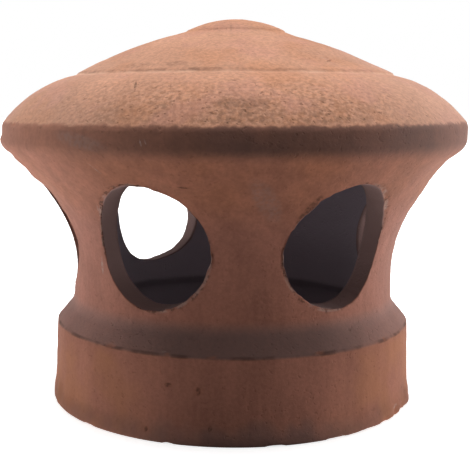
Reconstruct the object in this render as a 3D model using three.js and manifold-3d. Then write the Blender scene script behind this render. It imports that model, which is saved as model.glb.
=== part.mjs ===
// A terracotta roof vent lantern: the cap that stands over a vent pipe on a tiled roof.
// It is one hollow piece of fired clay. A short collar slips over the pipe. Above it the wall
// draws in to a waist, sweeps out under a wide brim, and is pierced by round vents, with one
// closed panel at the back. A roof of two shallow tiers and a button closes the top, so that
// rain runs off past the brim.
//
// Millimetres, +Z up. The origin is the centre of the flat rim that the lantern stands on.
// The front, -Y, lies between two vents.

import * as THREE from "three";
import { mergeVertices } from "three/addons/utils/BufferGeometryUtils.js";
import Module from "manifold-3d";

// Driving dimensions
const BRIM_RADIUS = 100;
const HEIGHT = 163.4;

// Collar, which slips over the pipe
const FOOT_RADIUS = 79.3;
const COLLAR_TOP_RADIUS = 77.8;
const COLLAR_HEIGHT = 33.8;
const FOOT_CHAMFER = 0.8;
const SOCKET_RADIUS = 70.6;
const SOCKET_DEPTH = 33.5;
const SOCKET_DRAFT = 0.4;

// Waist, and the hollow curve that sweeps out from it
const SHOULDER_WIDTH = 4.8;
const SHOULDER_RISE = 5.6;
const WAIST_RADIUS = 70.1;
const WAIST_HEIGHT = 54;
const HOLLOW_RADIUS = 61.5;
const HOLLOW_BEND = 42;
const WALL = 8.6;

// Brim: an upright band between two softened edges
const BAND_FOOT = 113.3;
const BAND_TOP = 117.6;
const UNDER_EDGE = { in: 1.7, down: 4.3, bend: 42 };
const UPPER_EDGE = { in: 1.1, up: 2.8, bend: 39 };

// Roof: two tiers and a button, each behind a low riser
const TIER_1 = { radius: 68.6, height: 139.1, bend: 38 };
const TIER_2 = { radius: 21.8, height: 157.9, bend: 18 };
const RISER_1 = { in: 0.4, up: 1.0 };
const RISER_2 = { in: 0.4, up: 0.6 };

// Inside of the roof
const ROOF_THICKNESS = 10.9;
const CEILING_EDGE = { radius: 86, height: 118 };
const GUTTER_BEND = 54;

// Vents, cut by hand, so their spacing isn't quite even. Each one's place is given in degrees
// from the front, -Y, towards +X. The back is closed between the last two.
const VENT_PLACES = [213, -90, -30, 29.3, 90];
const VENT_HALF_WIDTH = 23.5;
const VENT_HALF_HEIGHT = 25.4;
const VENT_HEIGHT_ON_AXIS = 78.3;
const VENT_FALL_DEGREES = 3.5;
const VENT_CUTTER_START = 30;
const VENT_CUTTER_END = 120;

// Fineness of the facets
const TURN_STEPS = 72;
const VENT_STEPS = 48;

const radians = THREE.MathUtils.degToRad;
const point = (radius, height) => new THREE.Vector2(radius, height);

// The points of a circular arc after `from`, up to `to`. It bends by that many degrees on the
// way: to the left if positive, to the right if negative.
function arc(from, to, bendDegrees, steps) {
  const bend = radians(bendDegrees);
  const chord = to.clone().sub(from);
  const leftOfChord = point(-chord.y, chord.x);
  const centre = from.clone().add(to).multiplyScalar(0.5);
  centre.addScaledVector(leftOfChord, 0.5 / Math.tan(bend / 2));
  const points = [];
  for (let i = 1; i <= steps; i++) {
    points.push(from.clone().rotateAround(centre, (bend * i) / steps));
  }
  return points;
}

// A point on the hollow curve, or on the inner wall that runs parallel to it.
function onHollow(radius, degrees) {
  const centre = point(WAIST_RADIUS + HOLLOW_RADIUS, WAIST_HEIGHT);
  const angle = radians(180 - degrees);
  return point(centre.x + radius * Math.cos(angle), centre.y + radius * Math.sin(angle));
}

// The outer face, from the foot up to the middle of the button.
function outerFace() {
  const foot = point(FOOT_RADIUS, FOOT_CHAMFER);
  const collarTop = point(COLLAR_TOP_RADIUS, COLLAR_HEIGHT);
  const shoulder = point(COLLAR_TOP_RADIUS - SHOULDER_WIDTH, COLLAR_HEIGHT + SHOULDER_RISE);
  const waist = point(WAIST_RADIUS, WAIST_HEIGHT);
  const hollowTop = onHollow(HOLLOW_RADIUS, HOLLOW_BEND);
  const bandFoot = point(BRIM_RADIUS, BAND_FOOT);
  const underEdge = point(BRIM_RADIUS - UNDER_EDGE.in, BAND_FOOT - UNDER_EDGE.down);
  const bandTop = point(BRIM_RADIUS, BAND_TOP);
  const upperEdge = point(BRIM_RADIUS - UPPER_EDGE.in, BAND_TOP + UPPER_EDGE.up);
  const tier1 = point(TIER_1.radius, TIER_1.height);
  const riser1 = point(TIER_1.radius - RISER_1.in, TIER_1.height + RISER_1.up);
  const tier2 = point(TIER_2.radius, TIER_2.height);
  const riser2 = point(TIER_2.radius - RISER_2.in, TIER_2.height + RISER_2.up);
  const top = point(0, HEIGHT);
  const waistBend = 2 * (90 - THREE.MathUtils.radToDeg(waist.clone().sub(shoulder).angle()));
  const buttonBend = 2 * (180 - THREE.MathUtils.radToDeg(top.clone().sub(riser2).angle()));
  return [
    point(FOOT_RADIUS - FOOT_CHAMFER, 0),
    foot,
    collarTop,
    shoulder,
    ...arc(shoulder, waist, waistBend, 3),
    ...arc(waist, hollowTop, -HOLLOW_BEND, 7),
    hollowTop.clone().lerp(underEdge, 0.5),
    underEdge,
    ...arc(underEdge, bandFoot, UNDER_EDGE.bend, 2),
    bandTop,
    ...arc(bandTop, upperEdge, UPPER_EDGE.bend, 2),
    ...arc(upperEdge, tier1, TIER_1.bend, 6),
    riser1,
    ...arc(riser1, tier2, TIER_2.bend, 5),
    riser2,
    ...arc(riser2, top, buttonBend, 4),
  ];
}

// The inner face, from the middle of the ceiling down to the foot.
function innerFace() {
  const ceiling = point(0, HEIGHT - ROOF_THICKNESS);
  const ceilingEdge = point(CEILING_EDGE.radius, CEILING_EDGE.height);
  const innerRadius = HOLLOW_RADIUS + WALL;
  const flareTop = onHollow(innerRadius, 45);
  const innerWaist = onHollow(innerRadius, 0);
  const seatTop = point(innerWaist.x, SOCKET_DEPTH + SHOULDER_RISE);
  const seatFoot = point(SOCKET_RADIUS - SOCKET_DRAFT, SOCKET_DEPTH);
  const ceilingBend = 2 * THREE.MathUtils.radToDeg(
    Math.atan2(ceilingEdge.y - ceiling.y, ceilingEdge.x),
  );
  return [
    ceiling,
    ...arc(ceiling, ceilingEdge, ceilingBend, 5),
    ...arc(ceilingEdge, flareTop, -GUTTER_BEND, 2),
    ...arc(flareTop, innerWaist, 45, 5),
    seatTop,
    seatFoot,
    point(SOCKET_RADIUS, FOOT_CHAMFER),
    point(SOCKET_RADIUS + FOOT_CHAMFER, 0),
  ];
}

const wasm = await Module();
wasm.setup();

// A closed three.js geometry as a manifold-3d solid.
function solidFrom(geometry) {
  const bare = geometry.clone();
  bare.deleteAttribute("normal");
  bare.deleteAttribute("uv");
  const merged = mergeVertices(bare, 1e-4);
  return new wasm.Manifold(
    new wasm.Mesh({
      numProp: 3,
      vertProperties: merged.attributes.position.array,
      triVerts: new Uint32Array(merged.index.array),
    }),
  );
}

// A manifold-3d solid as a three.js geometry.
function geometryFrom(solid) {
  const mesh = solid.getMesh();
  const geometry = new THREE.BufferGeometry();
  geometry.setAttribute("position", new THREE.BufferAttribute(mesh.vertProperties, 3));
  geometry.setIndex(new THREE.BufferAttribute(mesh.triVerts, 1));
  geometry.computeVertexNormals();
  return geometry;
}

// The whole wall and roof, turned in one go about the upright axis.
function turnedBody() {
  const lathe = new THREE.LatheGeometry([...innerFace(), ...outerFace()], TURN_STEPS);
  return lathe.rotateX(Math.PI / 2);
}

// The oval punch for one vent. Its axis starts inside the lantern and falls a little on the
// way out, so that rain that reaches the sill runs back out.
function ventCutter(place) {
  const length = VENT_CUTTER_END - VENT_CUTTER_START;
  const punch = new THREE.CylinderGeometry(1, 1, length, VENT_STEPS);
  punch.scale(VENT_HALF_WIDTH, 1, VENT_HALF_HEIGHT);
  punch.translate(0, -(VENT_CUTTER_START + length / 2), 0);
  punch.rotateX(radians(VENT_FALL_DEGREES));
  punch.translate(0, 0, VENT_HEIGHT_ON_AXIS);
  return punch.rotateZ(radians(place));
}

function lanternGeometry() {
  let body = solidFrom(turnedBody());
  for (const place of VENT_PLACES) {
    body = body.subtract(solidFrom(ventCutter(place)));
  }
  return geometryFrom(body);
}

const terracotta = new THREE.MeshStandardMaterial({
  color: 0xb4765c,
  roughness: 0.93,
  metalness: 0,
});

const lantern = new THREE.Mesh(lanternGeometry(), terracotta);
lantern.name = "lantern";

const ventLantern = new THREE.Group();
ventLantern.add(lantern);

export default ventLantern;
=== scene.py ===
# %% [markdown]
# # A terracotta roof vent lantern
# This file dresses one hollow piece of fired clay: the cap that stands over a vent pipe on a
# roof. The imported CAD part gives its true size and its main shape. Here the same outline is
# drawn again with enough points to carry what a kiln and a hand leave on clay: soft edges,
# torn rims round the vents, chips on the foot, scratches, and a sandy skin.
# Lengths on the lantern are in millimetres until the mesh is made. In the clay's material only
# heights, grain sizes and marks still are. The rest of it, the stage and the camera are in metres.

import bmesh
import bpy
import numpy as np
from mathutils import Matrix, Vector


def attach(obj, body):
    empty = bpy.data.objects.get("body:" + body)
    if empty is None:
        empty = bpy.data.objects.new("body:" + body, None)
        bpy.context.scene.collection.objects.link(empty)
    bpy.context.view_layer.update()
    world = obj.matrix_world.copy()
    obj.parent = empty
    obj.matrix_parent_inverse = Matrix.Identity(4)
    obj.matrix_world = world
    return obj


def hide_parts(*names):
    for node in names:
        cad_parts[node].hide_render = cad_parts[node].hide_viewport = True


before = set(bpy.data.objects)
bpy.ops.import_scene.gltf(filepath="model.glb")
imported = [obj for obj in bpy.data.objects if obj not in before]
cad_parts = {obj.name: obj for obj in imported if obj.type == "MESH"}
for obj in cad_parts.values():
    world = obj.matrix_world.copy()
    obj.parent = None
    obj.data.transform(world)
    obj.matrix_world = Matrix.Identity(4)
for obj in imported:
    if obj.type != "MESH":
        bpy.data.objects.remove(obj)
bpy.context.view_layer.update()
scene = bpy.context.scene

# %% [markdown]
# ## Turning
# A pot that is turned or pressed round has one outline, carried round an upright axis. The
# outline is made of straight runs and circular arcs, so two small helpers give all its points.
# Each one adds points at a chosen spacing: wide on plain clay, close together at an edge that
# has to stay crisp.

# %% Straight runs and arcs
def run(start, end, spacing):
    """Points of a straight line after `start`, up to `end`."""
    start, end = np.array(start, float), np.array(end, float)
    steps = max(1, round(np.linalg.norm(end - start) / spacing))
    share = np.linspace(0, 1, steps + 1)[1:, None]
    return start + share * (end - start)


def arc(start, end, bend_degrees, spacing):
    """Points of a circular arc after `start`, up to `end`, that turns left by that angle.

    The centre lies on the line that halves the chord, at half a chord over tan(bend / 2).
    """
    start, end = np.array(start, float), np.array(end, float)
    bend = np.radians(bend_degrees)
    chord = end - start
    across = np.array([-chord[1], chord[0]])
    centre = (start + end) / 2 + across * 0.5 / np.tan(bend / 2)
    length = abs(bend) * np.linalg.norm(start - centre)
    angle = np.linspace(0, bend, max(2, round(length / spacing)) + 1)[1:]
    spoke = start - centre
    return centre + np.stack(
        [
            spoke[0] * np.cos(angle) - spoke[1] * np.sin(angle),
            spoke[0] * np.sin(angle) + spoke[1] * np.cos(angle),
        ],
        axis=1,
    )


# %% The outline's real sizes, as in the CAD part
BRIM_RADIUS = 100
HEIGHT = 163.4
FOOT_RADIUS = 79.3
FOOT_CHAMFER = 0.5
ABOVE_FOOT = (79.1, 5.0)
NEAR_COLLAR_TOP = (78.0, 30.6)
COLLAR_TOP = (77.8, 33.8)
OVER_COLLAR_TOP = (76.6, 35.2)
SHOULDER = (73.0, 39.4)
ABOVE_SHOULDER = (70.3, 46)
WAIST = (70.1, 54)
HOLLOW_RADIUS = 61.5
WALL = 8.6
SOCKET_RADIUS = 70.6
SOCKET_DEPTH = 33.5
SOCKET_SLOPE = 5.6
SOCKET_TAPER = 0.4
UNDER_EDGE = (98.3, 109.0)
BAND_FOOT = (100, 113.3)
BAND_TOP = (100, 117.6)
UPPER_EDGE = (98.9, 120.4)
TIER_1 = (68.6, 139.1)
TIER_2 = (21.8, 157.9)
RISER_1 = (TIER_1[0] - 0.9, TIER_1[1] + 0.95)
RISER_2 = (TIER_2[0] - 0.8, TIER_2[1] + 0.6)
BRIM_BENDS = (42, 39)
TIER_BENDS = (38, 18)
POLE_RADIUS = 0.6
CEILING = (POLE_RADIUS, 152.5)
CEILING_EDGE = (86, 118)
CEILING_EDGE_BEND = 54


def on_hollow(radius, degrees):
    """A point of the hollow curve under the brim, or of the inner wall parallel to it."""
    angle = np.radians(180 - degrees)
    return (
        WAIST[0] + HOLLOW_RADIUS + radius * np.cos(angle),
        WAIST[1] + radius * np.sin(angle),
    )


# %% [markdown]
# ## Where the vents go
# The vents pierce a band of the wall. There the grid of the surface can't be plain rings: it
# has to bend round each opening, so that the edge of a vent is a row of points and can be torn
# and rounded like real clay. So the wall is made in three storeys. Above and below the band it
# is plain rings. In the band it is six panels, five of them with a vent, and the radius is a
# function of the height alone.

# %% The pierced band
BAND_LOW = 42.0
BAND_HIGH = 107.0
INNER_BAND_HIGH = 103.0
OUTER_BEND = 42
INNER_BEND = 45
SHOULDER_BEND = 44.5
FINE = 0.2

outer_flare = on_hollow(HOLLOW_RADIUS, OUTER_BEND)
outer_wall = np.vstack(
    [
        SHOULDER,
        arc(SHOULDER, ABOVE_SHOULDER, -SHOULDER_BEND, FINE),
        run(ABOVE_SHOULDER, WAIST, FINE),
        arc(WAIST, outer_flare, -OUTER_BEND, FINE),
        run(outer_flare, UNDER_EDGE, FINE),
    ]
)
inner_waist = on_hollow(HOLLOW_RADIUS + WALL, 0)
inner_flare = on_hollow(HOLLOW_RADIUS + WALL, INNER_BEND)
over_socket = (inner_waist[0], SOCKET_DEPTH + SOCKET_SLOPE)
inner_wall = np.vstack(
    [
        over_socket,
        run(over_socket, inner_waist, FINE),
        arc(inner_waist, inner_flare, -INNER_BEND, FINE),
    ]
)


def outer_radius(height):
    return np.interp(height, outer_wall[:, 1], outer_wall[:, 0])


def inner_radius(height):
    return np.interp(height, inner_wall[:, 1], inner_wall[:, 0])


print("waist radius", outer_radius(WAIST[1]), "less the wall", inner_radius(WAIST[1]))

# %% [markdown]
# ## Noise
# Everything uneven on the clay comes from one function: smooth random values in space, by
# their size in millimetres. It gives each corner of a cubic lattice a fixed random number and
# eases between the eight corners round each point. The numbers come from whole-number
# arithmetic, so they are the same on every run.

# %% Smooth noise in space
def lattice_value(cell, seed):
    """A fixed random number from -1 to 1 for each whole-number lattice corner."""
    x, y, z = (cell[:, axis].astype(np.uint64) for axis in range(3))
    mixed = x * np.uint64(374761393) + y * np.uint64(668265263) + z * np.uint64(1442695041)
    mixed = (mixed + np.uint64(seed * 974634777 + 12345)) & np.uint64(0xFFFFFFFF)
    mixed = (mixed ^ (mixed >> np.uint64(13))) * np.uint64(1274126177) & np.uint64(0xFFFFFFFF)
    mixed = (mixed ^ (mixed >> np.uint64(16))) * np.uint64(2246822519) & np.uint64(0xFFFFFFFF)
    mixed = mixed ^ (mixed >> np.uint64(15))
    return mixed.astype(float) / 0xFFFFFFFF * 2 - 1


def noise(points, size, seed):
    """Smooth noise from about -1 to 1 whose bumps are `size` millimetres apart."""
    place = points / size + 1000.0
    cell = np.floor(place).astype(np.int64)
    inside = place - cell
    ease = inside * inside * (3 - 2 * inside)
    total = np.zeros(len(points))
    for corner in np.ndindex(2, 2, 2):
        weight = np.prod(np.where(corner, ease, 1 - ease), axis=1)
        total += weight * lattice_value(cell + np.array(corner), seed)
    return total


def fractal(points, size, octaves, seed):
    """Noise with finer and fainter noise on top, half the size and half the height each time."""
    total = np.zeros(len(points))
    for octave in range(octaves):
        total += noise(points, size / 2**octave, seed + octave) / 2**octave
    return total


def step(value, low, high):
    """Eases from 0 at `low` to 1 at `high`."""
    share = np.clip((value - low) / (high - low), 0, 1)
    return share * share * (3 - 2 * share)


# %% [markdown]
# ## The vents
# Each vent was cut by pushing an oval punch through the wet wall, almost level but falling a
# little on the way out. Where the punch meets the outer and the inner face gives the two rims.
# A point on the punch is known by its angle round it, and the radius of the wall at its height
# tells how far along the punch the wall lies. Going round a few times settles the two.

# %% Punch and rims
# A vent's place is its angle from the front, towards the right. Its strays are the bulges of the
# oval: the angle round it, the spread and the height of each one.
SECTORS = [-90, -30, 30, 90, 150, 210]
HALF_SECTOR = 30.0
CUT = dict(half_width=23.5, half_height=25.4, axis_height=78.3, fall=3.5, lean=0.0, strays=[])
VENTS = {
    -90: dict(CUT, place=-90),
    -30: dict(CUT, place=-29.8, lean=0.05, strays=[(205, 30, 1.0), (150, 25, -0.7)]),
    30: dict(CUT, place=29.3, lean=-0.06, strays=[(330, 30, 0.5), (40, 25, -0.5)]),
    90: dict(CUT, place=88.5, half_width=22.2),
    210: dict(CUT, place=213, strays=[(320, 30, 2.0), (265, 25, -0.8)]),
}
SECTOR_COLUMNS = 50
SECTOR_ROWS = 48
RIM_ROWS = 20
JAMB_ROWS = 9
INNER_RIM_ROWS = 9
COLUMNS = SECTOR_COLUMNS * len(SECTORS)


def panel_edge(sector, high):
    """The points round a panel's four sides, as angle in degrees and height."""
    west, east = sector - HALF_SECTOR, sector + HALF_SECTOR
    across = np.linspace(west, east, SECTOR_COLUMNS + 1)
    up = np.linspace(BAND_LOW, high, SECTOR_ROWS + 1)
    bottom = np.stack([across[:-1], np.full(SECTOR_COLUMNS, BAND_LOW)], axis=1)
    right = np.stack([np.full(SECTOR_ROWS, east), up[:-1]], axis=1)
    top = np.stack([across[:0:-1], np.full(SECTOR_COLUMNS, high)], axis=1)
    left = np.stack([np.full(SECTOR_ROWS, west), up[:0:-1]], axis=1)
    return np.vstack([bottom, right, top, left])


def punch_point(vent, round_angle, along, widen):
    """Points on the punch, from the angle round it and the distance along it.

    along * axis + half_width * cos * sideways + half_height * sin * (upwards + lean * sideways)
    """
    place, fall = np.radians(vent["place"]), np.radians(vent["fall"])
    axis = np.array([np.sin(place) * np.cos(fall), -np.cos(place) * np.cos(fall), -np.sin(fall)])
    sideways = np.array([np.cos(place), np.sin(place), 0])
    upwards = np.cross(sideways, axis)
    upwards = upwards if upwards[2] > 0 else -upwards
    wide = (vent["half_width"] + widen) * np.cos(round_angle)
    tall = (vent["half_height"] + widen) * np.sin(round_angle)
    centre = np.array([0, 0, vent["axis_height"]])
    return (
        centre
        + np.multiply.outer(along, axis)
        + np.multiply.outer(wide, sideways)
        + np.multiply.outer(tall, upwards + vent["lean"] * sideways)
    )


FIRST_GUESS = 65.0
SETTLING_ROUNDS = 40
SETTLING_SHARE = 0.8


def meet_wall(vent, round_angle, widen, radius_at, middle):
    """How far along the punch each of its points meets a wall turned round that middle."""
    along = np.full(len(round_angle), FIRST_GUESS)
    for _ in range(SETTLING_ROUNDS):
        point = punch_point(vent, round_angle, along, widen)
        radius = np.hypot(point[:, 0] - middle[0], point[:, 1] - middle[1])
        along = along + SETTLING_SHARE * (radius_at(point[:, 2]) - radius)
    return along


# The hollow was turned a little off the middle, so the wall is thick at the front left. The foot
# stays even, and the shift is full from just above the socket.
AXIS = np.zeros(2)
OFF_BY = 1.8
OFF_TOWARD = np.radians(150)
OFF_FULLY_FROM = 38
HOLLOW_MIDDLE = OFF_BY * np.array([np.sin(OFF_TOWARD), -np.cos(OFF_TOWARD)])


def off_middle(points):
    """Moves points of the inner face off the axis."""
    moved = np.array(points, float)
    moved[..., :2] += step(moved[..., 2:], 0, OFF_FULLY_FROM) * HOLLOW_MIDDLE
    return moved


def turned(angle_degrees, height, radius):
    """Points on the wall, from the angle round the lantern, the height and the radius."""
    angle = np.radians(angle_degrees)
    return np.stack([radius * np.sin(angle), -radius * np.cos(angle), height], axis=-1)


def rim_strays(vent, round_angle):
    """How far the oval bulges at each angle round it."""
    total = np.zeros(len(round_angle))
    for at, spread, high in vent["strays"]:
        apart = (np.degrees(round_angle) - at + 180) % 360 - 180
        total += high * np.exp(-((apart / spread) ** 2))
    return total


# size of the bumps, height of the bumps, added to the seed
RIM_BUMPS = [(13, 0.55, 0), (4.5, 0.3, 50), (1.6, 0.16, 90)]
RIM_RADIUS = 24
APART_IN_SPACE = 7.0


def rim_noise(round_angle, seed):
    """How far the torn rim strays from the oval, in millimetres."""
    level = np.full(len(round_angle), seed * APART_IN_SPACE)
    circle = [np.cos(round_angle) * RIM_RADIUS, np.sin(round_angle) * RIM_RADIUS, level]
    circle = np.stack(circle, axis=1)
    return sum(high * noise(circle, size, seed + more) for size, high, more in RIM_BUMPS)


# %% [markdown]
# ## Building the panels
# A panel's mesh is a fan of rows that starts on the rim of the vent and ends on the panel's
# four straight sides. Angle and height ease from one to the other, so every point lies on the
# wall. The jamb, the cut face through the wall, joins the outer rim to the inner rim in
# straight lines along the punch. All patches share their border points, and are welded later.

# %% Panels, jambs and rings
patches = []
OUTSIDE, JAMB, INSIDE = 0.0, 0.5, 1.0


def add_patch(points, side, closed, flip=False):
    """Keeps a grid of points, rows by columns. A closed grid joins its last column to its first."""
    patches.append((np.asarray(points, float), side, closed, flip))


def closest(angle, near):
    """The same angles, a whole turn on or back, so that each is within half a turn of `near`."""
    return near + (angle - near + 180) % 360 - 180


def plain_panel(sector, high, radius_at, side):
    """The grid of a panel without a vent, on the outer or the inner wall."""
    across = np.linspace(sector - HALF_SECTOR, sector + HALF_SECTOR, SECTOR_COLUMNS + 1)
    up = np.linspace(BAND_LOW, high, SECTOR_ROWS + 1)
    angle, height = np.meshgrid(across, up)
    wall = turned(angle, height, radius_at(height))
    add_patch(off_middle(wall) if side == INSIDE else wall, side, False, side == INSIDE)


# A fan's rows start in the directions of the panel's edge points, seen from a little under the
# punch's axis, and are spread more evenly by a quarter.
FAN_DROP = 4.5
WALL_RADIUS = 72.0
EVEN_SHARE = 0.25
RAGGED_INSIDE = 0.4
# Powers above 1 crowd the rows towards the rim.
CROWDED_OUTSIDE = 1.7
CROWDED_INSIDE = 1.3

for sector in SECTORS:
    if sector not in VENTS:
        plain_panel(sector, BAND_HIGH, outer_radius, OUTSIDE)
        plain_panel(sector, INNER_BAND_HIGH, inner_radius, INSIDE)
        continue
    edge = panel_edge(sector, BAND_HIGH)
    inner_edge = panel_edge(sector, INNER_BAND_HIGH)
    vent = VENTS[sector]
    across = (edge[:, 0] - vent["place"]) * np.radians(WALL_RADIUS)
    up = edge[:, 1] - (vent["axis_height"] - FAN_DROP)
    round_angle = np.unwrap(np.arctan2(up, across))
    even = round_angle[0] + np.linspace(0, 2 * np.pi, len(edge), endpoint=False)
    round_angle = (1 - EVEN_SHARE) * round_angle + EVEN_SHARE * even
    strays = rim_strays(vent, round_angle)
    ragged = rim_noise(round_angle, SECTORS.index(sector) + 1)
    widen, widen_inside = strays + ragged, strays + RAGGED_INSIDE * ragged
    outer_along = meet_wall(vent, round_angle, widen, outer_radius, AXIS)
    inner_along = meet_wall(vent, round_angle, widen_inside, inner_radius, HOLLOW_MIDDLE)

    ease_out = (np.arange(RIM_ROWS + 1) / RIM_ROWS) ** CROWDED_OUTSIDE
    rim = punch_point(vent, round_angle, outer_along, widen)
    rim_angle = closest(np.degrees(np.arctan2(rim[:, 0], -rim[:, 1])), sector)
    angle = rim_angle + np.multiply.outer(ease_out, edge[:, 0] - rim_angle)
    height = rim[:, 2] + np.multiply.outer(ease_out, edge[:, 1] - rim[:, 2])
    radius = outer_radius(height)
    radius[0] = np.hypot(rim[:, 0], rim[:, 1])
    add_patch(turned(angle, height, radius), OUTSIDE, True, True)

    through = np.linspace(0, 1, JAMB_ROWS + 1)
    through = 0.5 * through + 0.5 * through**2
    rows = [
        punch_point(
            vent,
            round_angle,
            outer_along + share * (inner_along - outer_along),
            widen + share * (widen_inside - widen),
        )
        for share in through
    ]
    rows[0] = turned(angle[0], height[0], radius[0])
    add_patch(rows, JAMB, True)

    ease_in = (np.arange(INNER_RIM_ROWS + 1) / INNER_RIM_ROWS) ** CROWDED_INSIDE
    rim = rows[-1]
    own = rim[:, :2] - HOLLOW_MIDDLE
    rim_angle = closest(np.degrees(np.arctan2(own[:, 0], -own[:, 1])), sector)
    angle = rim_angle + np.multiply.outer(ease_in, inner_edge[:, 0] - rim_angle)
    height = rim[:, 2] + np.multiply.outer(ease_in, inner_edge[:, 1] - rim[:, 2])
    points = off_middle(turned(angle, height, inner_radius(height)))
    points[0] = rim
    add_patch(points, INSIDE, True)

# %% [markdown]
# ## The plain rings
# Below the band lie the shoulder, the collar and the foot. Above it come the brim, the two
# tiers and the button, and inside, the ceiling. Rows are close together at the sharp top edge
# of the collar, at the brim's edges and at the two small risers, because those lines catch
# the light.

# %% Rings below and above the band
first_column = SECTORS[0] - HALF_SECTOR
columns = np.linspace(first_column, first_column + 360, COLUMNS + 1)[:-1]


def add_rings(outline, side):
    outline = np.asarray(outline, float)
    angle, radius = np.meshgrid(columns, outline[:, 0])
    height = np.repeat(outline[:, 1:2], COLUMNS, axis=1)
    rings = turned(angle, height, radius)
    add_patch(off_middle(rings) if side == INSIDE else rings, side, True)


def wall_rows(radius_at, start, end, spacing):
    """Points of a wall whose radius follows from the height."""
    height = run((0, start), (0, end), spacing)[:, 1]
    return np.stack([radius_at(height), height], axis=1)


EDGE_BEND = 80
foot = (FOOT_RADIUS, FOOT_CHAMFER)
under_foot = (FOOT_RADIUS - FOOT_CHAMFER, 0.0)
below = np.vstack(
    [
        under_foot,
        arc(under_foot, foot, EDGE_BEND, 0.45),
        run(foot, ABOVE_FOOT, 0.7),
        run(ABOVE_FOOT, NEAR_COLLAR_TOP, 1.25),
        run(NEAR_COLLAR_TOP, COLLAR_TOP, 0.55),
        run(COLLAR_TOP, OVER_COLLAR_TOP, 0.45),
        run(OVER_COLLAR_TOP, SHOULDER, 0.9),
        wall_rows(outer_radius, SHOULDER[1], BAND_LOW, 0.9),
    ]
)
add_rings(below, OUTSIDE)

button_rise = np.degrees(np.arctan2(HEIGHT - RISER_2[1], RISER_2[0]))
over_band = (outer_radius(BAND_HIGH), BAND_HIGH)
above = np.vstack(
    [
        over_band,
        run(over_band, UNDER_EDGE, 0.9),
        arc(UNDER_EDGE, BAND_FOOT, BRIM_BENDS[0], 0.8),
        run(BAND_FOOT, BAND_TOP, 0.9),
        arc(BAND_TOP, UPPER_EDGE, BRIM_BENDS[1], 0.55),
        arc(UPPER_EDGE, TIER_1, TIER_BENDS[0], 1.3),
        run(TIER_1, RISER_1, 0.3),
        arc(RISER_1, TIER_2, TIER_BENDS[1], 1.7),
        run(TIER_2, RISER_2, 0.3),
        arc(RISER_2, (POLE_RADIUS, HEIGHT), 2 * button_rise, 1.5),
    ]
)
add_rings(above, OUTSIDE)

ceiling_drop = 2 * np.degrees(np.arctan2(CEILING[1] - CEILING_EDGE[1], CEILING_EDGE[0]))
ceiling = np.vstack(
    [
        CEILING,
        arc(CEILING, CEILING_EDGE, -ceiling_drop, 5.0),
        arc(CEILING_EDGE, inner_flare, -CEILING_EDGE_BEND, 2.5),
        wall_rows(inner_radius, inner_flare[1], INNER_BAND_HIGH, 1.6),
    ]
)
add_rings(ceiling, INSIDE)

under_band = (inner_radius(BAND_LOW), BAND_LOW)
socket_top = (SOCKET_RADIUS - SOCKET_TAPER, SOCKET_DEPTH)
socket_foot = (SOCKET_RADIUS, FOOT_CHAMFER)
under_socket = (SOCKET_RADIUS + FOOT_CHAMFER, 0)
socket = np.vstack(
    [
        under_band,
        run(under_band, over_socket, 1.5),
        run(over_socket, socket_top, 2.2),
        run(socket_top, socket_foot, 4.5),
        arc(socket_foot, under_socket, EDGE_BEND, 0.6),
        run(under_socket, under_foot, 3.0),
    ]
)
add_rings(socket, INSIDE)
print("patches", len(patches))

# %% [markdown]
# ## Welding
# Points that two patches share are the same, apart from the last digits. Rounding them to 0.002
# mm and keeping one of each joins the patches into one closed skin. The two small holes at the
# middle of the roof and of the ceiling are closed with a fan of triangles.

# %% Weld the patches into one skin
WELD_STEPS_PER_MM = 500


def patch_faces(rows, count, closed, flip):
    """The corner numbers of a grid's squares, in order round each square."""
    index = np.arange(rows * count).reshape(rows, count)
    right = np.roll(index, -1, axis=1) if closed else index[:, 1:]
    left = index if closed else index[:, :-1]
    corners = np.stack([left[:-1], right[:-1], right[1:], left[1:]], axis=-1).reshape(-1, 4)
    return corners[:, ::-1] if flip else corners


points, sides, squares, start = [], [], [], 0
for grid, side, closed, flip in patches:
    rows, count = grid.shape[:2]
    points.append(grid.reshape(-1, 3))
    sides.append(np.full(rows * count, side))
    squares.append(patch_faces(rows, count, closed, flip) + start)
    start += rows * count
points, sides, squares = np.vstack(points), np.concatenate(sides), np.vstack(squares)
keys = np.round(points * WELD_STEPS_PER_MM).astype(np.int64)
_, first, weld = np.unique(keys, axis=0, return_index=True, return_inverse=True)
weld = weld.reshape(-1)
points, sides, squares = points[first], sides[first], weld[squares]
print("points", len(points), "squares", len(squares))

# %% [markdown]
# The patches were laid down in different directions, so their faces don't agree yet. On one
# closed skin Blender can settle that by itself: it turns every face outwards, away from the
# clay. The normals are then averaged at each point, weighted by the faces' areas, so that the
# clay can be pushed in and out along them.

# %% One closed skin, faces outwards
NEAR_ENOUGH = 0.01


def fan(ring, middle):
    """Triangles from each side of a ring of points to one middle point."""
    return np.stack([ring, np.roll(ring, -1), np.full(len(ring), middle)], axis=1)


def ring_at(middle, height, radius):
    """The welded points of the small ring at that height and radius, in order round it."""
    across, deep = (points[:, :2] - middle).T
    near = np.abs(points[:, 2] - height) + np.abs(np.hypot(across, deep) - radius)
    ring = np.flatnonzero(near < NEAR_ENOUGH)
    return ring[np.argsort(np.arctan2(deep[ring], across[ring]))]


top_ring = ring_at(AXIS, HEIGHT, POLE_RADIUS)
ceiling_ring = ring_at(HOLLOW_MIDDLE, CEILING[1], POLE_RADIUS)
HUMP = 0.01
middles = np.array([[*AXIS, HEIGHT + HUMP], [*HOLLOW_MIDDLE, CEILING[1] + HUMP]])
triangles = np.vstack([fan(top_ring, len(points)), fan(ceiling_ring, len(points) + 1)])
points = np.vstack([points, middles])
sides = np.concatenate([sides, [OUTSIDE, INSIDE]])

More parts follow.
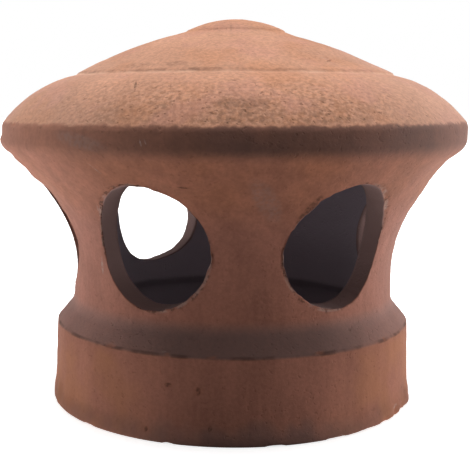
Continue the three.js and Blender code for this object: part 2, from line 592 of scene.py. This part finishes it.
shape = bpy.data.meshes.new("clay_lantern")
shape.from_pydata(points.tolist(), [], squares.tolist() + triangles.tolist())
skin = bmesh.new()
skin.from_mesh(shape)
bmesh.ops.recalc_face_normals(skin, faces=skin.faces)
open_edges = sum(1 for edge in skin.edges if len(edge.link_faces) != 2)
volume = skin.calc_volume(signed=True)
skin.to_mesh(shape)
skin.free()
print("open edges", open_edges, "volume in cm3", round(volume / 1000, 1))

shape.calc_loop_triangles()
corners = np.empty(len(shape.loop_triangles) * 3, np.int32)
shape.loop_triangles.foreach_get("vertices", corners)
corners = corners.reshape(-1, 3)
print("triangles", len(corners))


def point_normals(places):
    """The area-weighted average of the normals of the triangles round each point."""
    a, b, c = (places[corners[:, k]] for k in range(3))
    face = np.cross(b - a, c - a)
    total = np.zeros_like(places)
    for k in range(3):
        for axis in range(3):
            total[:, axis] += np.bincount(corners[:, k], face[:, axis], len(places))
    return total / np.linalg.norm(total, axis=1, keepdims=True)


# %% [markdown]
# ## What the kiln and the hand did
# First come the large and gentle changes. A clay body sags and twists a little as it dries:
# the brim stands 1.7 mm higher at the right than at the left, and the whole cap sits slightly
# off the middle of the collar. Then follows the skin: broad unevenness, a sandy roughness,
# upright drag marks below the brim where the mould or the hand slid, and turned lines above.

# %% Sag and lean
places = points.copy()
x, y, z = points.T
radius = np.hypot(x, y)
place = np.degrees(np.arctan2(x, -y))
on_outside = sides == OUTSIDE
HIGH_SIDE = np.radians(85.4)
CAP_UP, CAP_TIP, CAP_ASIDE = 0.55, 0.85, 0.35
# how much out of round, number of lobes, place of one of them
OUT_OF_ROUND = [(0.002, 2, 20), (0.0015, 3, -50)]
cap = step(z, 60, 112)
toward_right = x * np.sin(HIGH_SIDE) - y * np.cos(HIGH_SIDE)
places[:, 2] += cap * (CAP_UP + CAP_TIP * toward_right / BRIM_RADIUS)
places[:, 0] += cap * CAP_ASIDE
stretch = sum(by * np.cos(lobes * np.radians(place - at)) for by, lobes, at in OUT_OF_ROUND)
places[:, :2] *= (1 + stretch * step(z, 1, 20))[:, None]

# %% Broad unevenness, sand and drag marks
normal = point_normals(points)
lift = 0.30 * noise(points, 38, 3) + 0.14 * noise(points, 15, 4)
lift += 0.07 * fractal(points, 6, 2, 5)
lift += 0.05 * noise(points, 2.6, 8)
upright = points * np.array([1, 1, 0.07])
drag = step(z, 0.5, 3) * (1 - step(z, 60, 90))
lift += on_outside * drag * 0.10 * fractal(upright, 3.6, 2, 11)
# Turning lines on the roof and the brim: the same all round, but for slow changes.
around = np.stack([radius, z * 1.6, place * 0.05], axis=1)
roof = step(z, 112, 119) * on_outside
lift += roof * 0.06 * fractal(around, 4.0, 2, 17)


def side_window(at, spread):
    """1 at that angle from the front, falling smoothly to 0 over the spread."""
    apart = np.abs((place - at + 180) % 360 - 180)
    return 1 - step(apart, 0, spread)


def zone(low, full, until, gone):
    """1 between two heights, falling smoothly to 0 below and above them."""
    return step(z, low, full) * (1 - step(z, until, gone))


# The flare is pressed in at the left, and the under edge at the right. Both sides are scalloped,
# and at the left the brim's under edge bulges.
lift -= on_outside * 1.6 * side_window(-95, 60) * zone(58, 72, 88, 102)
lift -= on_outside * 2.0 * side_window(85, 60) * zone(90, 99, 103, 109)
scallop = (side_window(-85, 40) + side_window(85, 40)) * zone(76, 82, 104, 110)
lift += on_outside * 0.6 * scallop * fractal(points, 7, 2, 23)
lift += on_outside * 1.0 * side_window(-90, 40) * zone(106, 109, 112, 115)
# The foot's edge stands out, most of all towards the front corners.
foot_out = 0.5 + 0.6 * side_window(-52, 40) + 0.6 * side_window(45, 40)
lift += on_outside * foot_out * (1 - step(z, 3, 8))
# The upper tier lies a little lower than a true arc, most of all at the right.
low_tier = zone(139.6, 147, 156.5, 158.5)
lift -= on_outside * low_tier * (0.45 + 0.55 * step(toward_right, -5, 30))
# The flat foot stays flat where it rests.
lift *= step(z, 0.0, 1.0)

# %% [markdown]
# ## Chips, nicks and burrs
# A chip is a bite out of an edge. It has a sharp outline and a rough floor, so its depth rises
# quickly from nothing and is then broken up by fine noise. A burr is the opposite: a crumb or
# a smear of clay left standing. Both are placed by their angle from the front, towards the
# right, and their height. Sizes are in millimetres.

# %% Bites and crumbs
def patch_at(where, height, wide, tall, seed, ragged=0.35):
    """1 inside an oval on the outer wall, 0 outside, with a ragged outline."""
    across = ((place - where + 180) % 360 - 180) * np.pi / 180 * radius / wide
    up = (z - height) / tall
    distance = np.sqrt(across**2 + up**2) + ragged * noise(points, 0.35 * (wide + tall), seed)
    return 1 - step(distance, 0.75, 1.15)


# angle, height, half width, half height, depth (a negative depth is a burr)
BITES = [
    (54, 2.5, 2.4, 2, 0.8),
    (27, 0, 5, 1.2, 0.4),
    (38, 0, 6, 1.1, 0.4),
    (47, 0.5, 2.6, 1.8, 0.5),
    (60, 1, 2.5, 2.2, 0.5),
    (67, 3, 3, 4, -0.7),
    (-72, 5.5, 3, 4.5, -0.5),
    (-22, 0, 2, 1, 0.5),
    (8, 0, 3, 0.8, 0.45),
    (-50, 0, 3, 1, 0.5),
    (-24, 34.6, 1.6, 1, -0.45),
    (-23, 34.2, 1, 0.8, 0.5),
    (21, 34.4, 1.2, 0.8, 0.4),
    (-42, 34.2, 2, 0.9, 0.4),
    (48, 34.3, 1.6, 0.8, 0.35),
    (-10, 34.4, 1.4, 0.6, 0.25),
    (-28.8, 4.6, 0.8, 0.8, 0.5),
    (-10.3, 7.2, 0.8, 1, 0.6),
    (-13.7, 21.1, 1.5, 1.6, 0.4),
    (-22.3, 22.8, 2, 0.9, 0.3),
    (34, 145, 1.6, 1.2, 0.3),
    (120, 0.5, 6, 2, 0.8),
    (171, 1, 4, 2.6, 0.9),
    (230, 0.5, 5, 1.6, 0.7),
    (204, 34.3, 2.2, 0.9, 0.45),
    (140, 34.4, 1.5, 0.8, 0.4),
    (158, 118.6, 2, 0.9, 0.35),
    (246, 119, 2.6, 0.9, 0.35),
    (-64, 119.2, 1.8, 0.7, 0.3),
    (73, 118.8, 2, 0.8, 0.3),
]
BITE_SEED = 100
FLOOR_SEED = 200
scar = np.zeros(len(points))
for number, (where, height, wide, tall, deep) in enumerate(BITES):
    inside = patch_at(where, height, wide, tall, BITE_SEED + number) * on_outside
    rough = 1 + 0.35 * noise(points, 1.2, FLOOR_SEED + number)
    lift -= deep * inside * rough
    scar = np.maximum(scar, inside * (deep > 0))
print("bites", len(BITES), "points in them", int((scar > 0.5).sum()))

# %% [markdown]
# The rims of the vents were torn by the punch. Close to a rim the clay is rounded by a
# fraction of a millimetre, and along a few stretches it stands up as a rough burr or has
# crumbled away. The distance to the rim is measured to the punch itself: how far a point lies
# outside the oval.

# %% Torn rims
MEAN_HALF_SIZE = 24.5
TORN_SEED = 300
rim_mark = np.zeros(len(points))
for sector, vent in VENTS.items():
    turn, fall = np.radians(vent["place"]), np.radians(vent["fall"])
    out = x * np.sin(turn) - y * np.cos(turn)
    across = x * np.cos(turn) + y * np.sin(turn)
    up = (z - vent["axis_height"]) * np.cos(fall) + out * np.sin(fall)
    oval = np.hypot(across / vent["half_width"], up / vent["half_height"])
    distance = np.maximum((oval - 1) * MEAN_HALF_SIZE, 0)
    here = (out > 0) & on_outside
    seed = TORN_SEED + sector
    lift += np.exp(-distance / 0.7) * here * (-0.32 + 0.38 * fractal(points, 7, 3, seed))
    lift += np.exp(-distance / 2.2) * here * 0.16 * fractal(points, 3.2, 2, seed + 7)
    rim_mark = np.maximum(rim_mark, np.exp(-distance / 1.3) * here)

# The two front rims: angle, height, half width, half height, how far it stands up
RIM_BURRS = [
    (13, 85, 3, 4, 0.55),
    (15.5, 91.5, 3, 3, 0.75),
    (18.5, 96.5, 3, 2.5, 0.5),
    (-52, 64, 2, 6, 0.35),
    (-30.3, 48, 2.5, 1.3, 0.6),
    (-24, 50, 2, 1.2, 0.5),
    (31.2, 48.4, 2.5, 1.3, 0.6),
    (35, 49.5, 2, 1.2, 0.45),
    (-50, 76, 1.6, 9, -0.5),
    (-46, 86, 2, 4, -0.35),
]
BURR_SEED = 400
CRUMBLE_SEED = 430
at_rim = np.clip(rim_mark * 1.6, 0, 1)
for number, (where, height, wide, tall, high) in enumerate(RIM_BURRS):
    inside = patch_at(where, height, wide, tall, BURR_SEED + number, 0.5) * on_outside
    crumbled = 0.6 + 0.6 * noise(points, 1.3, CRUMBLE_SEED + number)
    lift += high * inside * crumbled * at_rim

places += normal * lift[:, None]
places[:, 2] = np.maximum(places[:, 2], 0.0)

# %% [markdown]
# ## The piece
# The finished points go into the mesh in metres. Four numbers are kept with each point, for the
# clay to read: its height before the cap sagged, how near it lies to a torn rim, whether it lies
# in a chip, and how far inside the lantern it is: 0 outside, 1 inside, 0.35 on a cut face.

# %% Put the points into the mesh
CUT_FACE_SHARE = 0.35
shape.vertices.foreach_set("co", (places / 1000).ravel())
shape.polygons.foreach_set("use_smooth", np.ones(len(shape.polygons), bool))
inside_share = np.select([sides == INSIDE, sides == JAMB], [1.0, CUT_FACE_SHARE], 0.0)
KEPT = {"height": z, "torn_rim": rim_mark, "chip": scar, "inside": inside_share}
for name, values in KEPT.items():
    layer = shape.attributes.new(name, "FLOAT", "POINT")
    layer.data.foreach_set("value", values.astype(np.float32))
shape.update()
lantern = bpy.data.objects.new("clay_lantern", shape)
scene.collection.objects.link(lantern)
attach(lantern, "root")
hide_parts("lantern")
print("piece size, mm", np.ptp(places, axis=0).round(1))

# %% [markdown]
# ## Terracotta
# Terracotta is coarse red clay, fired once at about 1000 degrees and left bare. Light sinks a
# little way into the open pores, so it hardly shines: roughness near 1. Its colour comes from
# iron, orange where it burned clean and browner where hands reached it, with pale dust and a
# painted highlight on its ledges and dark specks of grit. Painted shade darkens its front, on
# the band, the shoulder and the foot. The finest grain is about 0.5 mm, and it is drawn a
# little coarser so that it shows.

# %% Colours and nodes
def linear(hex_colour):
    """Linear light, red, green, blue and 1, from an sRGB hex colour."""
    value = np.array([int(hex_colour[k : k + 2], 16) for k in (1, 3, 5)]) / 255
    value = np.where(value <= 0.04045, value / 12.92, ((value + 0.055) / 1.055) ** 2.4)
    return (*value.tolist(), 1.0)


def node(kind, settings=None, inputs=None):
    """Adds a node to the tree at hand. An input is a value, or another node's output to link."""
    made = tree.nodes.new("ShaderNode" + kind)
    for name, value in (settings or {}).items():
        setattr(made, name, value)
    for name, value in (inputs or {}).items():
        socket = made.inputs[name]
        if isinstance(value, bpy.types.NodeSocket):
            tree.links.new(value, socket)
        else:
            socket.default_value = value
    return made


def empty_tree(owner):
    """Clears the nodes of a material or a world, to draw them anew."""
    owner.use_nodes = True
    owner.node_tree.nodes.clear()
    return owner.node_tree


clay = bpy.data.materials.new("terracotta, unglazed and sandy")
tree = empty_tree(clay)
where = node("TexCoord").outputs["Object"]


def grain(size_mm, detail=2.0, stretch=(1, 1, 1), roughness=0.5, shift=0.0):
    """Noise on the object whose bumps are about that many millimetres apart."""
    moved = (shift, shift * 0.7, shift * 1.3)
    placed = node("Mapping", inputs={"Vector": where, "Scale": stretch, "Location": moved})
    sizes = {"Scale": 1000 / size_mm, "Detail": detail, "Roughness": roughness}
    inputs = {"Vector": placed.outputs["Vector"], **sizes}
    return node("TexNoise", inputs=inputs).outputs["Fac"]


def ramp(value, low, high, out_low=0.0, out_high=1.0):
    """Maps the value from one range to another, eased and held at the ends."""
    old, new = {"From Min": low, "From Max": high}, {"To Min": out_low, "To Max": out_high}
    inputs = {"Value": value, **old, **new}
    return node("MapRange", {"interpolation_type": "SMOOTHSTEP"}, inputs).outputs["Result"]


def blend(share, first, second):
    """Mixes two colours. The node's colour sockets are 6 and 7, and its colour output is 2."""
    return node("Mix", {"data_type": "RGBA"}, {0: share, 6: first, 7: second}).outputs[2]


def maths(operation, *values):
    """Works through numbers and outputs with one operation, two at a time."""
    total = values[0]
    for value in values[1:]:
        total = node("Math", {"operation": operation}, {0: total, 1: value}).outputs[0]
    return total


def times(*factors):
    return maths("MULTIPLY", *factors)


def plus(*terms):
    return maths("ADD", *terms)


def cover(colour, tone, *shares):
    """The colour with a tone over it, as strong as the product of the shares."""
    return blend(times(*shares), colour, tone)


def shade(colour, factor):
    """The colour made darker or lighter by a factor."""
    scaled = node("VectorMath", {"operation": "SCALE"}, {0: colour, "Scale": factor})
    return scaled.outputs["Vector"]


def lighten(colour, *amounts):
    """The colour made lighter by the product of the amounts, or darker where that is below 0."""
    return shade(colour, plus(1.0, times(*amounts)))


PALE_ROOF_AND_HIGHLIGHT = linear("#C59277")
BODY_CLAY = linear("#A8705E")
FLARE_CLAY = linear("#AC7056")
OCHRE = linear("#B87B55")
PINK = linear("#BC8877")
PAINTED_SHADE = linear("#4B403F")
PALE_DUST_AND_HIGHLIGHT = linear("#DDB198")
PALE_WEAR_AND_HIGHLIGHT = linear("#B7A399")
DARK_GRIT_AND_SHADOW = linear("#4A332B")
CHIP_FACE = linear("#B4745A")
INSIDE_GREY_PAINTED_LIGHT = linear("#9D9198")
JAMB_CLAY = linear("#967A75")
GREY_DUST_AND_SHADE = linear("#968A88")

height, rim, chip, inner = (
    node("Attribute", {"attribute_name": name}).outputs["Fac"] for name in KEPT
)
parts = node("SeparateXYZ", inputs={"Vector": where})
across, behind = parts.outputs["X"], parts.outputs["Y"]


def belt(low, full, until, gone):
    """1 between two heights, easing to 0 below and above them."""
    return times(ramp(height, low, full), ramp(height, gone, until))


# %% The clay's colours
# The roof is paler from a ragged line on the brim's upper edge up: paler clay, with a painted
# highlight of its lit top in the same colour. Below it the clay is redder, and more orange on
# the flare.
roof = ramp(plus(height, ramp(grain(3.5, 3, shift=12), 0.3, 0.7, -0.5, 0.5)), 119.1, 120.9)
flare_share = times(ramp(height, 78, 96), ramp(grain(24, 2), 0.3, 0.7, 0.6, 1.0))
colour = blend(flare_share, BODY_CLAY, FLARE_CLAY)
colour = shade(colour, ramp(grain(2.2, 2, (1, 1, 0.09), shift=5), 0.3, 0.7, 0.96, 1.035))
colour = shade(colour, ramp(grain(11, 3, (1, 1, 0.5), shift=15), 0.3, 0.7, 0.92, 1.06))
mottling = ramp(grain(5.5, 3, shift=37), 0.34, 0.66, -0.07, 0.06)
colour = lighten(colour, mottling, ramp(height, 62, 84))
# The paler roof colour is partly paler clay and partly a painted highlight of the lit top.
colour = blend(roof, colour, PALE_ROOF_AND_HIGHLIGHT)

# The lower dome is coarse: ochre and dark reddish mottling, strongest towards the brim and in
# the middle, with painted shade that darkens it smoothly towards the brim. It ends at the tier's
# riser.
coarse = times(
    ramp(height, 119.6, 121.4),
    ramp(height, 139, 128, 0.25, 1.0),
    ramp(height, 139.8, 139.0),
    ramp(across, -0.085, -0.025, 0.25, 1.0),
    ramp(across, 0.08, 0.015, 0.15, 1.0),
)
mottle = grain(2, 3, shift=4, roughness=0.62)
colour = cover(colour, OCHRE, coarse, ramp(mottle, 0.42, 0.62, 0.0, 0.32))
colour = lighten(colour, coarse, ramp(grain(1.7, 3, shift=6), 0.36, 0.62, -0.26, 0.12))
# Painted shade: the lower dome grows darker towards the brim, most in the middle.
colour = lighten(colour, coarse, ramp(height, 136, 122, 0.0, -0.20))
colour = lighten(colour, roof, ramp(grain(28, 3, shift=31), 0.35, 0.65, -0.08, 0.04))
# Painted shade: the upper dome darker at the right, the lower dome darker at the left.
upper_right_shade = times(ramp(height, 140, 146), ramp(across, 0.0, 0.045))
colour = shade(colour, ramp(upper_right_shade, 0, 1, 1.0, 0.86))
lower_left_shade = times(roof, ramp(height, 138, 130), ramp(across, -0.03, -0.08))
colour = shade(colour, ramp(lower_left_shade, 0, 1, 1.0, 0.9))
# Higher up it is softer, with pink and ochre clouds.
colour = cover(colour, OCHRE, roof, ramp(grain(26, 3, shift=1), 0.46, 0.64, 0.0, 0.32))
colour = cover(colour, PINK, roof, ramp(grain(19, 3, shift=2), 0.48, 0.66, 0.0, 0.45))
sand = ramp(grain(1.5, 3, shift=3, roughness=0.65), 0.34, 0.66, -0.13, 0.10)
colour = lighten(colour, sand, ramp(roof, 0, 1, 0.6, 1.0))

# Painted shade: on the brim's band, on the shoulder where the brim's shadow falls, and along
# the foot near the table. All three are strongest in front and thin out to the sides.
middle = times(ramp(across, -0.07, -0.015), ramp(across, 0.07, 0.015))
# Painted shade on the brim's band, darkest in front.
band_shade = times(ramp(height, 106.0, 112.4), ramp(roof, 1.0, 0.0))
band_sides = times(ramp(across, -0.088, -0.005, 0.22, 1.0), ramp(across, 0.055, 0.097, 1.0, 0.55))
band_share = ramp(grain(30, 2, shift=8), 0.3, 0.7, 0.58, 0.72)
colour = cover(colour, PAINTED_SHADE, band_shade, band_sides, band_share)
# Painted shadow of the brim on the shoulder: greyer and darker, most in front.
shoulder_zone = belt(33.2, 34.4, 40.0, 47)
colour = cover(colour, GREY_DUST_AND_SHADE, shoulder_zone, 0.38)
colour = cover(colour, PAINTED_SHADE, shoulder_zone, ramp(middle, 0, 1, 0.06, 0.5))
# Painted shade along the foot: greyer and darker, most in front.
foot_zone = ramp(plus(height, ramp(grain(14, 2, shift=18), 0.3, 0.7, -3, 3)), 11, 1)
colour = cover(colour, GREY_DUST_AND_SHADE, foot_zone, ramp(middle, 0, 1, 0.1, 0.22))
colour = cover(colour, PAINTED_SHADE, foot_zone, ramp(middle, 0, 1, 0.2, 0.42))

# The sides are greyer, most of all at the right. The collar is tan and darker at its sides.
greyer_sides = plus(ramp(across, 0.02, 0.08, 0, 0.2), ramp(across, -0.02, -0.08, 0, 0.12))
colour = cover(colour, GREY_DUST_AND_SHADE, greyer_sides, ramp(height, 38, 46))
side_tan = times(ramp(height, 36, 30), ramp(middle, 1.0, 0.1))
colour = cover(colour, OCHRE, side_tan, ramp(grain(20, 3, shift=36), 0.35, 0.65, 0.1, 0.5))
collar_sides = times(ramp(height, 36, 32), ramp(middle, 1, 0))
colour = shade(colour, ramp(collar_sides, 0, 1, 1.04, 0.88))

# Soft pits and rare specks: only the highest peaks of a smooth noise, so they stay few.
pits = times(ramp(grain(1.9, 1, shift=7), 0.63, 0.74), ramp(coarse, 0, 1, 0.35, 0.6))
# Painted shade: the pits' colour is darkened in their hollows, besides the rare specks.
colour = shade(colour, ramp(pits, 0, 1, 1.0, 0.62))

# Pale dust and a painted highlight lie on the ledge under the upper tier. A painted shadow line
# runs along that tier's riser, and grime sits on the collar's top edge.
# Painted highlight with pale dust on the ledge that faces up.
ledge = belt(138.4, 139.2, 139.5, 139.95)
colour = cover(colour, PALE_DUST_AND_HIGHLIGHT, ledge, ramp(grain(7, 2, shift=19), 0.35, 0.65, 0.15, 0.6))
# Painted shadow along the riser, strongest at the left.
riser_line = belt(139.2, 139.6, 140.3, 140.9)
riser_shadow = times(ramp(grain(6, 4, shift=33), 0.42, 0.64), ramp(across, 0.03, -0.02, 0.18, 0.38))
colour = cover(colour, DARK_GRIT_AND_SHADOW, riser_line, riser_shadow)
collar_line = belt(33.0, 33.7, 34.2, 34.9)
collar_dirt = ramp(grain(9, 4, shift=34), 0.42, 0.66, 0.05, 0.6)
colour = cover(colour, DARK_GRIT_AND_SHADOW, collar_line, collar_dirt)

# The arrises of the vents are lighter in places, pale wear with a painted highlight where an
# edge catches light, and have dark crumbs in others.
wear_and_highlight = ramp(grain(5, 3, shift=9), 0.42, 0.62, 0.0, 0.48)
colour = cover(colour, PALE_WEAR_AND_HIGHLIGHT, ramp(rim, 0.5, 0.97), wear_and_highlight)
crumbs = ramp(grain(2, 3, shift=10), 0.52, 0.62, 0.0, 0.6)
colour = cover(colour, DARK_GRIT_AND_SHADOW, ramp(rim, 0.25, 0.8), crumbs)
colour = cover(colour, CHIP_FACE, chip, 0.4)

# The cut faces are greyer, with painted shade low down and at the back and painted light higher
# up. Inside, the clay is painted paler and grey: painted light that lifts the dark hollow.
cut_face_shade = times(ramp(height, 52, 66, 0.76, 1.14), ramp(behind, 0.0, 0.04, 1.0, 0.76))
colour = blend(ramp(inner, 0.0, CUT_FACE_SHARE), colour, shade(JAMB_CLAY[:3], cut_face_shade))
colour = blend(ramp(inner, 0.5, 1.0), colour, INSIDE_GREY_PAINTED_LIGHT)

# %% [markdown]
# ## Scratches, smudges and painted highlights
# Each mark is a thin ellipsoid round a short line on the clay's surface. The two ends of the
# line are given by their angle from the front and their height, and the ellipsoid colours the
# clay that it cuts through.

# %% Marks
band = wall_rows(outer_radius, BAND_LOW + 0.5, BAND_HIGH, 1.0)
profile = np.vstack([below, band, above])


def on_clay(where_degrees, up):
    """The point of the outer surface at that angle and height, in metres."""
    reach = np.interp(up, profile[:, 1], profile[:, 0])
    return Vector(turned(where_degrees, up, reach) / 1000)


def distance_to_middle(point):
    return node("VectorMath", {"operation": "LENGTH"}, {0: point}).outputs["Value"]


def mark(start, end, half_width):
    """1 along a line on the clay from start to end, 0 beyond its half width in millimetres."""
    first, last = on_clay(*start), on_clay(*end)
    along = last - first
    half = half_width / 1000
    inputs = {
        "Vector": where,
        "Location": (first + last) / 2,
        "Rotation": along.to_track_quat("X", "Z").to_euler(),
        "Scale": (along.length / 2 + half, half, half),
    }
    placed = node("Mapping", {"vector_type": "TEXTURE"}, inputs).outputs["Vector"]
    return ramp(distance_to_middle(placed), 1.1, 0.55)


# start (angle, height), end (angle, height), half width
DARK_MARKS = [
    ((-31.5, 135.7), (-29, 132), 0.6),
    ((-21, 135.4), (-20, 132.5), 0.5),
    ((-11.5, 135.8), (-9, 135.4), 0.7),
    ((-6, 135.9), (-3, 135.2), 0.8),
    ((-1, 135.2), (1, 134.8), 0.6),
    ((-17.5, 98.5), (-14.5, 98), 0.6),
    ((-11, 97.2), (-9.5, 97.4), 0.5),
    ((-28.8, 4.2), (-28.8, 5), 0.9),
    ((-10.3, 6.6), (-10.3, 7.8), 0.9),
    ((-13.7, 20.4), (-13.7, 21.8), 1.2),
    ((-23, 22.8), (-21.6, 22.8), 1),
    ((12.5, 84), (17.5, 95.5), 1.7),
    ((31.5, 144), (35.5, 145.2), 0.7),
    ((41, 128), (42.5, 126.6), 1.1),
]
PALE_MARKS = [
    ((-23.4, 115.6), (-23, 113.2), 0.4),
    ((-22.4, 115.8), (-22, 113.9), 0.35),
    ((-38, 106.5), (-35.5, 102), 0.5),
    # The three marks on the left vent's left rim are pale chips with a painted highlight where the
    # rim catches light.
    ((-44.5, 89), (-46.5, 81), 0.9),
    ((-48.6, 78), (-50.2, 70), 0.8),
    ((-51.6, 67), (-52, 60.5), 0.9),
    ((36, 145.6), (32, 146), 0.6),
    ((-24.5, 35), (-23.5, 35), 0.7),
    ((27, 0.6), (28.5, 0.8), 1.2),
    ((53, 3.2), (55, 4.4), 1.2),
]
SMUDGES = [
    ((-47, 141.8), (-34, 142.2), 2.6),
    ((-29, 142.5), (-22, 142.8), 2.8),
    ((-12, 161.6), (-8, 156.8), 0.6),
    ((-9, 128), (2, 127.5), 3.5),
    ((4, 57), (5, 48), 5),
]
DUST = [((1, 99), (6, 88), 5), ((-44, 116), (-32, 112.5), 3)]
# the marks, their colour, strength
KINDS_OF_MARKS = [
    (DARK_MARKS, DARK_GRIT_AND_SHADOW, 0.42),
    (SMUDGES, DARK_GRIT_AND_SHADOW, 0.15),
    (PALE_MARKS, PALE_WEAR_AND_HIGHLIGHT, 0.32),
    (DUST, GREY_DUST_AND_SHADE, 0.14),
]
for table, tone, strength in KINDS_OF_MARKS:
    lines = plus(*[mark(*line) for line in table])
    broken = ramp(grain(1.6, 3, shift=21), 0.35, 0.6, strength * 0.5, strength * 1.6)
    colour = cover(colour, tone, lines, broken)

# %% Skin
GRAIN_DEPTH = 0.00016
PIT_DEPTH = 0.00035


def bump(height, depth, settings=None, under=None):
    """The normal of a skin that rises by that depth, on top of the bumps under it."""
    inputs = {"Strength": 1.0, "Distance": depth, "Height": height, **(under or {})}
    return {"Normal": node("Bump", settings, inputs).outputs["Normal"]}


sandy = bump(grain(1.1, 4, roughness=0.6), GRAIN_DEPTH)
pitted = bump(pits, PIT_DEPTH, {"invert": True}, sandy)
matt = {"Base Color": colour, "Roughness": 0.95, "Specular IOR Level": 0.25}
shader = node("BsdfPrincipled", inputs={**matt, **pitted})
node("OutputMaterial", inputs={"Surface": shader.outputs["BSDF"]})
shape.materials.append(clay)
print("material", clay.name, "nodes", len(tree.nodes))

# %% [markdown]
# ## The table and the light
# The photograph was taken in a light tent: a large soft light overhead, light walls at the
# back and the sides, a white table that glows a little, and hardly any light from the front,
# where the camera's dark opening is. The strengths were found by fitting the sum of a few
# soft lights to the brightness of plain clay at places all over the front of the lantern.
#
# The tent's white paper is what the eye sees behind the lantern, and the same sheet is seen
# from every side. The dark opening in front is there for the clay's light alone. Whether a ray
# comes straight from the eye or from the clay decides which of the two it meets.

# %% Table
HALF_TABLE = 6
DIM_FROM = 0.08
FOOT_RING = (0.0765, 0.0785)
GLOW, MORE_TO_THE_EYE = 0.55, 0.2
floor_mesh = bpy.data.meshes.new("table")
table_corners = np.array([(-1, -1, 0), (1, -1, 0), (1, 1, 0), (-1, 1, 0)]) * HALF_TABLE
floor_mesh.from_pydata(table_corners.tolist(), [], [(0, 1, 2, 3)])
floor = bpy.data.objects.new("table", floor_mesh)
scene.collection.objects.link(floor)
WHITE_PAPER = linear("#E7E7E7")
DIM_PAPER = linear("#595959")
paper = bpy.data.materials.new("white paper table")
tree = empty_tree(paper)
where = node("TexCoord").outputs["Object"]
parts = node("SeparateXYZ", inputs={"Vector": where})
sideways = maths("MAXIMUM", parts.outputs["X"], times(parts.outputs["X"], -1.0))
# How far a point lies in front of the lantern, less for points off to the sides.
in_front = plus(times(parts.outputs["Y"], -1.0), times(sideways, -0.8))
seen = node("LightPath").outputs["Is Camera Ray"]
lit = maths("MAXIMUM", seen, ramp(in_front, DIM_FROM, 0.0))
# Under the lantern the sheet is white too, but there it doesn't glow.
uncovered = ramp(distance_to_middle(where), *FOOT_RING)
white = blend(lit, DIM_PAPER, WHITE_PAPER)
white = blend(uncovered, WHITE_PAPER, white)
sheet = node("BsdfDiffuse", inputs={"Color": white})
shine = times(plus(times(lit, GLOW), times(seen, MORE_TO_THE_EYE)), uncovered)
glow = node("Emission", inputs={"Color": (1, 1, 1, 1), "Strength": shine})
both = node("AddShader", inputs={0: sheet.outputs["BSDF"], 1: glow.outputs["Emission"]})
node("OutputMaterial", inputs={"Surface": both.outputs["Shader"]})
floor_mesh.materials.append(paper)

# %% Light from all round
world = bpy.data.worlds.new("light tent")
scene.world = world
tree = empty_tree(world)
way = node("TexCoord").outputs["Generated"]
# direction, tightness, strength
SOFT_LIGHTS = [
    ((0, 0, 1), 80, 30.5),
    ((0, 0.4, 0.92), 20, 3.1),
    ((-0.4, 0, 0.92), 20, 0.4),
    ((1, 0, 0.2), 4, 1.26),
    ((0, -1, 0.1), 6, 0.48),
    ((-0.75, 0.65, 0.1), 6, 2.1),
    ((0.75, 0.65, 0.1), 6, 2.2),
]


def soft_light(toward, tight, bright):
    """A glow of the sky round one direction; a higher tightness makes it narrower."""
    toward = np.array(toward, float) / np.linalg.norm(toward)
    facing = node("VectorMath", {"operation": "DOT_PRODUCT"}, {0: way, 1: toward})
    facing = maths("MAXIMUM", facing.outputs["Value"], 0.0)
    return times(maths("POWER", facing, tight), bright)


total = plus(*[soft_light(*light) for light in SOFT_LIGHTS])
seen = node("LightPath").outputs["Is Camera Ray"]
bright = node("Mix", {"data_type": "FLOAT"}, {0: seen, 2: total, 3: 1.0}).outputs[0]
sky = node("Background", inputs={"Color": (1, 1, 1, 1), "Strength": bright})
node("OutputWorld", inputs={"Surface": sky.outputs["Background"]})

# %% [markdown]
# ## Camera
# The camera was found from the ellipses of the foot, the collar's top, the brim and the tier:
# their widths and heights fit a camera 412 mm from the axis, 129 mm above the table, tipped
# down by 8.2 degrees, a little to the left of the front, and turned by half a degree.

# %% Camera
DISTANCE = 0.4118
EYE_HEIGHT = 0.1287
LEFT_OF_FRONT = np.radians(4.6)
TIPPED_DOWN = np.arctan(0.144)
PIXELS = 470
FOCAL_PIXELS = 926.25
ROLL = 0.0100
AXIS_LEFT_OF_MIDDLE = 2.2 / FOCAL_PIXELS


def swing(first, second, angle):
    """Turns two directions at right angles, the first one towards the second."""
    cos, sin = np.cos(angle), np.sin(angle)
    return first * cos + second * sin, second * cos - first * sin


ahead = np.array([np.sin(LEFT_OF_FRONT), np.cos(LEFT_OF_FRONT), 0])
right = np.array([np.cos(LEFT_OF_FRONT), -np.sin(LEFT_OF_FRONT), 0])
upright = np.array([0, 0, 1.0])
position = -ahead * DISTANCE + upright * EYE_HEIGHT
forward, upward = swing(ahead, upright, -TIPPED_DOWN)
forward, right = swing(forward, right, AXIS_LEFT_OF_MIDDLE)
right, upward = swing(right, upward, ROLL)

lens = bpy.data.cameras.new("camera")
lens.sensor_width = 36.0
lens.lens = lens.sensor_width * FOCAL_PIXELS / PIXELS
lens.clip_start = 0.01
lens.clip_end = 50
camera = bpy.data.objects.new("camera", lens)
scene.collection.objects.link(camera)
matrix = np.eye(4)
matrix[:3] = np.stack([right, upward, -forward, position], axis=1)
camera.matrix_world = Matrix(matrix.tolist())
scene.camera = camera
scene.view_settings.view_transform = "Standard"
print("lens, mm", round(lens.lens, 2))
